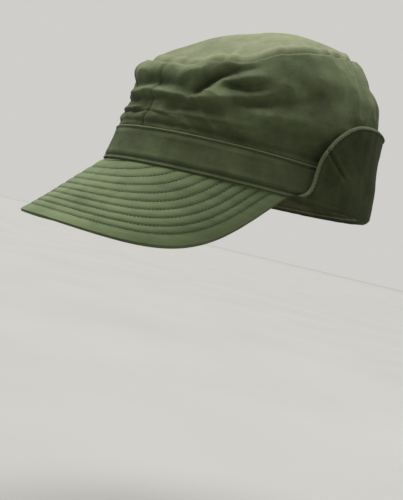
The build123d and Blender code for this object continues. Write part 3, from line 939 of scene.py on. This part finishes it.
# ---- visor --------------------------------------------------------------------------------
@dataclass
class Visor:
    """The curved visor: board, top and bottom cover, and ten rows of stitching on each face."""

    finishes: Finishes
    half_x: float = 85.0
    half_y: float = 103.0
    pitch: float = math.radians(43.7)
    length: float = 73.6
    end: float = math.radians(86.0)
    corner: float = 90.0
    square_edge: float = 4.7
    square_inner: float = 2.0
    droop: float = 15.0
    thickness: float = 4.2
    first_row: float = 9.5
    row_pitch: float = 5.5
    row_count: int = 10
    columns: int = 520

    def point(self, turn: np.ndarray, down: np.ndarray, depth: np.ndarray) -> np.ndarray:
        """A point of the visor, down its slope and below its top face; turn is in radians."""
        x = (self.half_x - depth) * np.sin(turn)
        y = -(self.half_y - depth / math.sin(self.pitch)) * np.cos(turn) - down * math.cos(self.pitch)
        return np.stack(np.broadcast_arrays(x, y, -down * math.sin(self.pitch)), -1)

    def squareness(self, inset: np.ndarray | float) -> np.ndarray | float:
        """The power of a row's rounded corner: squarer at the edge, round near the band."""
        share = np.clip(inset / (self.first_row + (self.row_count - 1) * self.row_pitch), 0, 1.2)
        return self.square_edge + (self.square_inner - self.square_edge) * share

    def inset(self, turn: np.ndarray, down: np.ndarray) -> np.ndarray:
        """How far inside the visor's edge a place of its top face is."""
        bottom = self.length + self.droop * (1 - np.cos(turn)) - down
        side = self.half_y * (np.cos(turn) - math.cos(self.end)) * math.sin(self.pitch)
        bottom, side = np.broadcast_arrays(bottom, side)
        over_b, over_s = np.maximum(self.corner - bottom, 0), np.maximum(self.corner - side, 0)
        low, high = np.full(bottom.shape, -5.0), np.minimum(np.minimum(bottom, side), self.corner - 0.5)
        high = np.maximum(high, low + 0.01)
        for _ in range(22):
            middle = (low + high) / 2
            power, radius = self.squareness(middle), self.corner - middle
            outside = (over_b / radius) ** power + (over_s / radius) ** power > 1
            low, high = np.where(outside, low, middle), np.where(outside, middle, high)
        return (low + high) / 2

    def edge_line(self, inset: float, count: int) -> tuple[np.ndarray, np.ndarray]:
        """The curve that runs at one inset from the edge, from the right end to the left.

        Args:
            inset: how far inside the edge.
            count: how many points.

        Returns:
            Each point's turn and its place down the slope.
        """
        radius, power = self.corner, self.squareness(inset)
        psi = np.linspace(0, math.pi / 2, 400)
        bottom = radius - (radius - inset) * np.sin(psi) ** (2 / power)
        side = radius - (radius - inset) * np.cos(psi) ** (2 / power)
        # The corner's curve is wider than the visor, so it stops at the middle line.
        keep = side <= self.half_y * (1 - math.cos(self.end)) * math.sin(self.pitch)
        bottom, side = bottom[keep], side[keep]
        cosine = np.clip(math.cos(self.end) + side / (self.half_y * math.sin(self.pitch)), -1, 1)
        turn, down = np.arccos(cosine), self.length + self.droop * (1 - cosine) - bottom
        turn, down = np.concatenate([-turn, turn[-2::-1]]), np.concatenate([down, down[-2::-1]])
        line = self.point(turn, down, 0.0)
        start = run_length(line)
        at = np.linspace(0, start[-1], count)
        return np.interp(at, start, turn), np.interp(at, start, down)

    def ribs(self, inset: np.ndarray, along: np.ndarray) -> np.ndarray:
        """How far the cover puffs up between its rows of stitching."""
        rows = (inset - self.first_row) / self.row_pitch
        last = self.row_count - 1
        last_inset = self.first_row + last * self.row_pitch
        wave = np.abs(np.sin(np.pi * rows)) ** 0.9
        tick = 0.5 + 0.5 * np.cos(2 * np.pi * along / STITCH_PITCH)
        swell = 0.48 * wave - 0.45 * tick * (1 - wave) ** 2
        border = 0.75 * np.clip(np.sin(np.pi * np.clip(inset / self.first_row, 0, 1)), 0, 1) ** 0.5
        inner = 0.35 * smoothstep(inset, last_inset, last_inset + 3.0)
        return np.where(rows < 0, border, np.where(rows > last, inner, swell))

    def cover(self, top: bool) -> tuple[np.ndarray, np.ndarray, np.ndarray, np.ndarray]:
        """The grids of one cover.

        Args:
            top: the top cover, which wraps the edge, or else the bottom one.

        Returns:
            Its outer points, inner points, cloth coordinates, and its colour shift of wear and painted
            light and shade.
        """
        roll = self.thickness / 2
        edge_turn, edge_down = self.edge_line(roll, self.columns)
        rim_turn = np.linspace(-1, 1, self.columns) * (self.end - 0.012)
        share = np.linspace(0, 1, 165)[None, :] ** 0.92
        turn = rim_turn[:, None] + (edge_turn - rim_turn)[:, None] * share
        down = 0.35 + (edge_down[:, None] - 0.35) * share
        inset = self.inset(turn, down)
        place = self.point(turn, down, 0.0)
        along = run_length(place[:, -1])[:, None]
        soft = 0.28 * soft_noise(place / 17.0, 53) + 0.10 * soft_noise(place / 5.0, 59)
        settle = smoothstep(down, 0.3, 3.0)
        lift = (self.ribs(inset, along + 0 * inset) + soft) * settle
        rows = (inset - self.first_row) / self.row_pitch
        sewn = (1 - np.abs(np.sin(np.pi * rows)) ** 0.9) * (rows > -0.3) * (rows < self.row_count - 0.7)
        holes = 0.5 + 0.5 * np.cos(2 * np.pi * along / STITCH_PITCH)
        # The colour follows the quilting: paler on the puffs between the rows and along the edge, painted
        # shade in the stitch grooves and darkest at the holes, and paler or darker with the soft relief.
        wear_and_painted_light = 0.25 * (1 - sewn) - (0.3 + 1.3 * holes) * sewn**2 + 0.5 * bell(inset, 1.5, 1.5) + 0.8 * soft
        cloth = np.stack([place[..., 0], -place[..., 2] / math.sin(self.pitch)], -1)
        if top:
            outer, inner = self.point(turn, down, -lift), self.point(turn, down, 0.95)
            steps = np.radians(np.arange(80, -41, -10))
        else:
            lift = lift * 0.7
            outer = self.point(turn, down, self.thickness + lift)
            inner = self.point(turn, down, self.thickness - 0.95)
            steps = np.radians(np.arange(-80, -49, 10))
        rings = []
        for step in steps:
            ring_turn, ring_down = self.edge_line(roll * (1 - math.cos(step)), self.columns)
            ripple = 0.10 * np.sin(along[:, 0] / 2.2)
            depth = roll * (1 - math.sin(step)) - ripple * math.cos(step)
            lining = self.edge_line(roll * (1 - 0.5 * math.cos(step)) + 0.15, self.columns)
            rings.append((self.point(ring_turn, ring_down, depth),
                          self.point(*lining, roll * (1 - 0.5 * math.sin(step)))))
        outer = np.concatenate([outer, np.stack([r[0] for r in rings], 1)], 1)
        inner = np.concatenate([inner, np.stack([r[1] for r in rings], 1)], 1)
        extra = len(rings)
        tail = np.arange(1, extra + 1)[None, :, None] * (0.0, 0.4)
        cloth = np.concatenate([cloth, cloth[:, -1:] + tail], 1)
        # The rolled edge is painted darker, most of all underneath: painted shade where it faces down.
        rolled = np.linspace(0.2, -1.4, extra)[None, :] if top else np.full((1, extra), -1.2)
        wear_and_painted_light = np.concatenate([wear_and_painted_light, np.broadcast_to(rolled, (self.columns, extra))], 1)
        return outer, inner, cloth, wear_and_painted_light

    def stitches(self, skin: Skin, depth: float, over: float) -> None:
        """Add every row of stitching to one face, at a depth below the top face."""
        for row in range(self.row_count):
            turn, down = self.edge_line(self.first_row + row * self.row_pitch, 900)
            keep = down > 1.5
            turn, down = turn[keep], down[keep]
            line = self.point(turn, down, depth)
            at = resample(line, STITCH_PITCH)
            index = np.arange(len(line))
            turn, down = np.interp(at, index, turn), np.interp(at, index, down)
            centres = self.point(turn, down, depth)
            ahead = np.gradient(line, axis=0)
            ahead = np.stack([np.interp(at, index, ahead[:, k]) for k in range(3)], -1)
            ahead /= np.linalg.norm(ahead, axis=-1, keepdims=True)
            up = self.point(turn, down, depth - over) - centres
            up -= (up * ahead).sum(-1, keepdims=True) * ahead
            up /= np.linalg.norm(up, axis=-1, keepdims=True)
            skin.add_stitches(centres, ahead, up)

    def build(self) -> None:
        """Make the board, the covers and the stitching."""
        for side in ("top", "bottom"):
            outer, inner, cloth, wear_and_painted_light = self.cover(side == "top")
            skin = Skin()
            skin.add_shell(outer, inner, cloth, wear_and_painted_light)
            node = f"visor_{side}_cover"
            dress(skin.make(node + "_cloth", [self.finishes.visor]), "cap", [node])
        turn, down = self.edge_line(2.6, 240)
        share = np.linspace(0, 1, 40)[None, :]
        rim = np.linspace(-1, 1, 240) * (self.end - 0.03)
        turn = rim[:, None] + (turn - rim)[:, None] * share
        down = 0.6 + (down[:, None] - 0.6) * share
        skin = Skin()
        skin.add_shell(self.point(turn, down, 1.05), self.point(turn, down, 3.15),
                       np.stack([turn * 85, down], -1), 0 * turn)
        dress(skin.make("visor_stiffener_board", [self.finishes.board]), "cap",
              ["visor_stiffener"])
        skin = Skin()
        self.stitches(skin, 0.05, 1.0)
        self.stitches(skin, self.thickness - 0.05, -1.0)
        dress(skin.make("visor_stitching_thread", [self.finishes.thread]), "cap",
              ["visor_stitching"])


# ---- neck flap ----------------------------------------------------------------------------
@dataclass
class NeckFlap:
    """The double neck flap, turned up round the back: thirteen gores and the rolled fold."""

    finishes: Finishes
    foot: float = 1.8
    middle: float = 3.3
    half_thick: float = 1.0
    tail: float = 84.8
    hem: float = 2.4
    lap_foot: float = 0.8
    lap_hem: float = 3.6
    outline: tuple[tuple[float, float], ...] = (
        (87.6, 1.8), (90.2, 4.2), (92.0, 8.0), (92.8, 12.5), (93.2, 18.3), (93.6, 24.5), (94.2, 31.0),
        (95.6, 37.4), (98.0, 45.0), (101.5, 51.6), (104.8, 56.3), (110.0, 60.4), (117.0, 62.9),
        (124.0, 64.3), (136.0, 65.0), (158.0, 64.6), (180.0, 65.0))
    crease: tuple[tuple[float, float], ...] = (
        (94.6, 38.5), (95.7, 36.5), (98.7, 33.0), (103.7, 27.0), (112.0, 18.5))

    def __post_init__(self) -> None:
        """Lay the outline out flat, on both sides."""
        left = np.array(self.outline)
        right = left[-2::-1] * (-1, 1) + (360, 0)
        whole = np.concatenate([left, right])
        self.edge = np.stack([self.arc(whole[:, 0]), whole[:, 1]], -1)
        start = run_length(self.edge)
        fine = np.linspace(0, start[-1], 900)
        line = smooth_rows(np.column_stack([start, self.edge]), fine)
        self.edge = line

    def arc(self, angle: np.ndarray) -> np.ndarray:
        """The length along the flap from the front to an angle."""
        table = np.arange(0.0, 360.5, 0.5)
        turn = np.radians(table)
        speed = np.hypot((RIM_X + self.middle) * np.cos(turn), (RIM_Y + self.middle) * np.sin(turn))
        total = np.concatenate([[0], np.cumsum((speed[1:] + speed[:-1]) / 2 * math.radians(0.5))])
        return np.interp(angle, table, total)

    def angle_at(self, arc: np.ndarray) -> np.ndarray:
        """The angle at a length along the flap."""
        table = np.arange(0.0, 360.5, 0.5)
        return np.interp(arc, self.arc(table), table)

    def sheet_out(self, arc: np.ndarray, height: np.ndarray) -> np.ndarray:
        """How far out the flap's middle lies: a slight waist, and soft waves at the free edge."""
        place = np.stack(np.broadcast_arrays(arc / 34, height / 40, 0 * arc), -1)
        wave = soft_noise(place, 61) * smoothstep(height, 6, 50)
        fine = soft_noise(place * 3.1, 67) * smoothstep(height, 4, 20)
        angle = self.angle_at(arc)
        back = smoothstep(np.minimum(angle, 360 - angle), 108, 142)
        waist = (1 - back) * (-1.3 * bell(height, 26, 17) + 0.8 * smoothstep(height, 44, 66))
        hug = back * (1.3 * bell(height, 5, 15) - 2.6 * smoothstep(height, 14, 52))
        return self.middle + waist + hug + 1.2 * wave + 0.45 * fine

    def gore_grid(self, gore: int) -> tuple[np.ndarray, np.ndarray]:
        """One gore's grid on the flat flap.

        Args:
            gore: from 0 at the wearer's left temple.

        Returns:
            Lengths along the flap and heights, each shape (m, n).
        """
        first, last = GORE_FIRST + gore * GORE_STEP, GORE_FIRST + (gore + 1) * GORE_STEP
        if gore == 0:
            first = self.outline[0][0]
        if gore == GORES - 1:
            last = 360 - self.outline[0][0]
        count = 64 if gore in (0, GORES - 1) else 40
        low, high = self.arc(first), self.arc(last)
        foot = np.linspace(low, high, count)
        start = run_length(self.edge)
        ends = [start[0] if gore == 0 else np.interp(low, self.edge[:, 0], start),
                start[-1] if gore == GORES - 1 else np.interp(high, self.edge[:, 0], start)]
        at = np.linspace(*ends, count)
        top = np.stack([np.interp(at, start, self.edge[:, k]) for k in range(2)], -1)
        if 0 < gore < GORES - 1:
            top[:, 0] = foot
            top[:, 1] = np.interp(foot, self.edge[:, 0], self.edge[:, 1])
        share = (1 - (1 - np.linspace(0, 1, 110)) ** 1.5)[None, :]
        arc = foot[:, None] + (top[:, :1] - foot[:, None]) * share
        height = self.foot + (top[:, 1:] - self.foot) * share
        return arc, height

    def place(self, arc: np.ndarray, height: np.ndarray, out: np.ndarray) -> np.ndarray:
        """A point of the flap in the cap's frame."""
        turn = np.radians(self.angle_at(arc))
        return np.stack(np.broadcast_arrays(
            (RIM_X + out) * np.sin(turn), -(RIM_Y + out) * np.cos(turn), height), -1)

    def gore(self, gore: int) -> None:
        """Make one gore: lining outside, cover cloth inside and round the hem."""
        arc, height = self.gore_grid(gore)
        flat = np.stack([arc, height], -1)
        far, _ = line_distance(flat, self.edge[::3] if gore in (0, GORES - 1) else self.edge)
        crease_line = np.array([(self.arc(a), h) for a, h in self.crease])
        mirror = np.array([(self.arc(360 - a), h) for a, h in self.crease])
        crease = np.zeros_like(far)
        for line in (crease_line, mirror):
            near, along = line_distance(flat, line)
            fade = smoothstep(1 - along, 0.0, 0.35)
            crease += fade * (0.8 * bell(near, 0, 0.8) - 0.35 * bell(near, 3.0, 1.6))
        thick = self.half_thick * np.sqrt(1 - np.clip(1 - far / 1.5, 0, 0.985) ** 2)
        hem = smoothstep(-far, -self.hem - 0.5, -self.hem + 0.3)
        dimple = 0.30 * bell(far, self.hem + 0.5, 0.6)
        out = self.sheet_out(arc, height)
        fine = 0.12 * soft_noise(np.stack([arc / 5, height / 5, 0 * arc], -1), 71)
        ease = smoothstep(height, self.foot, self.foot + 3)
        face = out + thick + ease * (0.45 * hem * np.clip(far / 1.2, 0, 1) ** 0.5 - dimple - crease + fine)
        back = out - thick - ease * (0.25 * hem * np.clip(far / 1.2, 0, 1) ** 0.5)
        # The hem is paler. The crease and the groove beside the hem are painted darker, painted shade in
        # their grooves. The flap is paler towards its free edge.
        wear_and_painted_light = np.where(far < self.hem, 0.05 + 0.35 * bell(far, 1.0, 0.9),
                        0.25 * soft_noise(np.stack([arc / 22, height / 22, 0 * arc], -1), 73)
                        - 0.9 * crease - 0.5 * dimple / 0.3 * (far > self.hem) * 0.6)
        wear_and_painted_light = wear_and_painted_light + 0.25 * smoothstep(height, 42, 62) * (far >= self.hem)
        slots = np.where(far < self.hem - 0.1, 1, 0)
        high_edge = arc[-1, 0]
        skin = Skin()
        skin.add_shell(self.place(arc, height, face), self.place(arc, height, back), flat, wear_and_painted_light,
                       slot_outer=slots, slot_inner=1)
        if gore < GORES - 1:
            self.underlap(skin, float(high_edge))
        self.hem_stitches(skin, gore)
        name = f"neck_flap_gore_{gore + 1:02d}"
        piece = skin.make(name, [self.finishes.lining, self.finishes.poplin, self.finishes.thread])
        dress(piece, f"flap_gore_{gore + 1:02d}",
              [f"neck_flap_lining_{gore + 1:02d}", f"neck_flap_cover_{gore + 1:02d}"])

    def underlap(self, skin: Skin, edge: float) -> None:
        """Add a thin tongue between the next gore's plies, which closes the slit when the flap is down."""
        share = np.linspace(0, 1, 40)[None, :]
        reach = np.linspace(-0.9, 1, 9)[:, None]
        wide = self.lap_foot + (self.lap_hem - self.lap_foot) * share
        arc = edge + np.where(reach < 0, reach, reach * wide)
        top = np.interp(arc, self.edge[:, 0], self.edge[:, 1]) - 0.9
        height = self.foot + 2.0 + (top - self.foot - 2.0) * share
        out = self.sheet_out(arc, height)
        skin.add_shell(self.place(arc, height, out + 0.15), self.place(arc, height, out - 0.15),
                       np.stack([arc, height], -1), 0 * arc, slot_outer=0, slot_inner=1)

    def hem_stitches(self, skin: Skin, gore: int) -> None:
        """Add the stitches that hold the hem, on the lining's face."""
        step = np.gradient(self.edge, axis=0)
        step /= np.linalg.norm(step, axis=1, keepdims=True)
        inner = self.edge + np.stack([step[:, 1], -step[:, 0]], -1) * (self.hem - 0.7)
        at = resample(inner, STITCH_PITCH)
        index = np.arange(len(inner))
        arc, height = (np.interp(at, index, inner[:, k]) for k in range(2))
        along = np.stack([np.interp(at, index, step[:, k]) for k in range(2)], -1)
        first, last = (self.arc(GORE_FIRST + (gore + k) * GORE_STEP) for k in range(2))
        low = -1e9 if gore == 0 else first + 0.9
        high = 1e9 if gore == GORES - 1 else last - 0.9
        keep = (arc > low) & (arc < high) & (height > 6)
        arc, height, along = arc[keep], height[keep], along[keep]
        out = self.sheet_out(arc, height) + self.half_thick + 0.62
        centres = self.place(arc, height, out)
        ahead = self.place(arc + along[:, 0], height + along[:, 1], out) - centres
        ahead /= np.linalg.norm(ahead, axis=-1, keepdims=True)
        up = self.place(arc, height, out + 1) - centres
        up -= (up * ahead).sum(-1, keepdims=True) * ahead
        up /= np.linalg.norm(up, axis=-1, keepdims=True)
        skin.add_stitches(centres, ahead, up, slot=2)

    def fold(self, gore: int) -> None:
        """Make one gore's stretch of the rolled fold."""
        first, last = GORE_FIRST + gore * GORE_STEP, GORE_FIRST + (gore + 1) * GORE_STEP
        if gore == 0:
            first = self.tail
        if gore == GORES - 1:
            last = 360 - self.tail
        angle = np.linspace(first, last, 40)[:, None]
        path = np.array([(-0.9, -0.75), (0.0, -1.25), (1.0, -1.65), (2.0, -1.65), (2.85, -1.15),
                         (3.25, -0.2), (3.3, 0.8), (3.3, 1.8)])
        at = np.linspace(0, len(path) - 1, 22)
        middle = smooth_rows(np.column_stack([np.arange(len(path)), path]), at)
        thick = np.interp(at, [0, 2, 5, 7], [0.35, 0.7, 0.95, 1.0])
        step = np.gradient(middle, axis=0)
        step /= np.linalg.norm(step, axis=1, keepdims=True)
        side = np.stack([step[:, 1], -step[:, 0]], -1) * thick[:, None]
        # The fold narrows to a point ahead of the first gore and behind the last.
        nearest = np.minimum(angle, 360 - angle)
        ends = np.clip((nearest - self.tail) / (self.outline[0][0] - self.tail), 0.12, 1) ** 0.6
        sag = 1 + 0.45 * bell(nearest, 92.0, 5.5) - 0.25 * smoothstep(nearest, 100, 112)
        uneven = soft_noise(np.concatenate([angle / 3.0, 0 * angle, 0 * angle], -1), 79)
        rough = 0.25 * uneven[:, None] * bell(middle[:, 1], -1.4, 1.2)[None, :]
        grids = []
        for sign in (1, -1):
            out = middle[None, :, 0] + (sign * side[None, :, 0] * (1 + rough)) * ends
            z = middle[None, :, 1] + (sign * side[None, :, 1] * (1 + rough)) * ends
            z = np.where(z > 0, z * ends, z * sag)
            wide = self.sheet_out(self.arc(angle), np.full_like(angle, self.foot)) - self.middle
            out = out + wide * smoothstep(z, -1.0, 1.8)
            turn = np.radians(angle)
            grids.append(np.stack(np.broadcast_arrays(
                (RIM_X + out) * np.sin(turn), -(RIM_Y + out) * np.cos(turn), z), -1))
        cloth = np.stack(np.broadcast_arrays(self.arc(angle), at[None, :]), -1)
        skin = Skin()
        skin.add_shell(grids[0], grids[1], cloth, 0 * cloth[..., 0] + 0.15, slot_outer=0, slot_inner=1)
        name = f"neck_flap_fold_{gore + 1:02d}"
        piece = skin.make(name, [self.finishes.lining, self.finishes.poplin])
        turn = math.radians((first + last) / 2)
        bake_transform(piece)
        if gore == 0:
            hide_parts("neck_flap_root")

    def build(self) -> None:
        """Make every gore and its fold."""
        for gore in range(GORES):
            self.gore(gore)
            self.fold(gore)


def dress(piece: bpy.types.Object, body: str, nodes: list[str]) -> None:
    """Hang a piece on its body and let it stand for its CAD nodes."""
    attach(piece, body)
    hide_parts(*nodes)


# ---- studio -------------------------------------------------------------------------------
@dataclass
class Studio:
    """The pale floor, the soft lights and the camera."""

    floor_height: float = -0.27
    floor_radius: float = 30.0
    paint: str = "#7E7D7A"
    pale: str = "#D9D8D4"
    world_strength: float = 0.9
    sky_power: float = 6.3
    sky_spread: float = math.radians(60)
    sky_aim: tuple[float, float, float] = (0.24, 0.17, -1.0)

    def floor(self) -> None:
        """Make a wide round floor that meets the pale world without a visible line."""
        angle = np.linspace(0, 360, 97)[:-1, None]
        radius = np.geomspace(0.0005, self.floor_radius, 16)[None, :] / MM
        turn = np.radians(angle)
        height = np.full_like(radius, self.floor_height / MM)
        face = np.stack(np.broadcast_arrays(radius * np.sin(turn), -radius * np.cos(turn), height), -1)
        skin = Skin()
        skin.add_shell(face, face - (0, 0, 1.0), face[..., :2], 0 * face[..., 0], wraps=True)
        piece = skin.make("studio_floor", [PaintedFloor("matt_painted_floor", self.paint).build()])

    def light(self, name: str, place: tuple[float, float, float], size: float, power: float) -> None:
        """Add one large soft light that faces the cap."""
        data = bpy.data.lights.new(name, "AREA")
        data.shape, data.size, data.energy = "DISK", size, power
        lamp = bpy.data.objects.new(name, data)
        lamp.location = place
        lamp.rotation_euler = (Vector((0, 0, 0.03)) - Vector(place)).to_track_quat("-Z", "Y").to_euler()
        bpy.context.scene.collection.objects.link(lamp)

    def camera(self) -> None:
        """Place the camera on the cap's left, a little tilted, at eye height."""
        data = bpy.data.cameras.new("camera")
        data.sensor_fit, data.sensor_height, data.lens = "VERTICAL", 36.0, 60.05
        data.clip_end = 50.0
        right, up, back = (0.4663, 0.8538, 0.2314), (-0.1253, -0.1952, 0.9727), (0.8757, -0.4826, 0.0160)
        turn = Matrix((right, up, back)).transposed().to_4x4()
        item = bpy.data.objects.new("camera", data)
        item.matrix_world = Matrix.Translation((0.5503, -0.3198, -0.0393)) @ turn
        bpy.context.scene.collection.objects.link(item)
        bpy.context.scene.camera = item

    def build(self) -> None:
        """Make the whole studio."""
        self.floor()
        self.camera()
        world = bpy.data.worlds.new("studio_world")
        world.use_nodes = True
        world.node_tree.nodes["Background"].inputs[0].default_value = linear(self.pale)
        world.node_tree.nodes["Background"].inputs[1].default_value = self.world_strength
        bpy.context.scene.world = world
        data = bpy.data.lights.new("skylight", "SUN")
        data.energy, data.angle = self.sky_power, self.sky_spread
        sun = bpy.data.objects.new("skylight", data)
        sun.rotation_euler = Vector(self.sky_aim).to_track_quat("-Z", "Y").to_euler()
        bpy.context.scene.collection.objects.link(sun)
        self.light("softbox_back", (0.5, 1.3, 1.1), 0.7, 8.0)
        bpy.context.scene.view_settings.view_transform = "Standard"


def main() -> None:
    """Build the studio and then the cap, from the crown down."""
    logging.basicConfig(level=logging.INFO, format="%(message)s")
    Studio().build()
    finishes = Finishes()
    Crown(finishes).build()
    Band(finishes).build()
    Visor(finishes).build()
    NeckFlap(finishes).build()


if __name__ == "__main__":
    main()
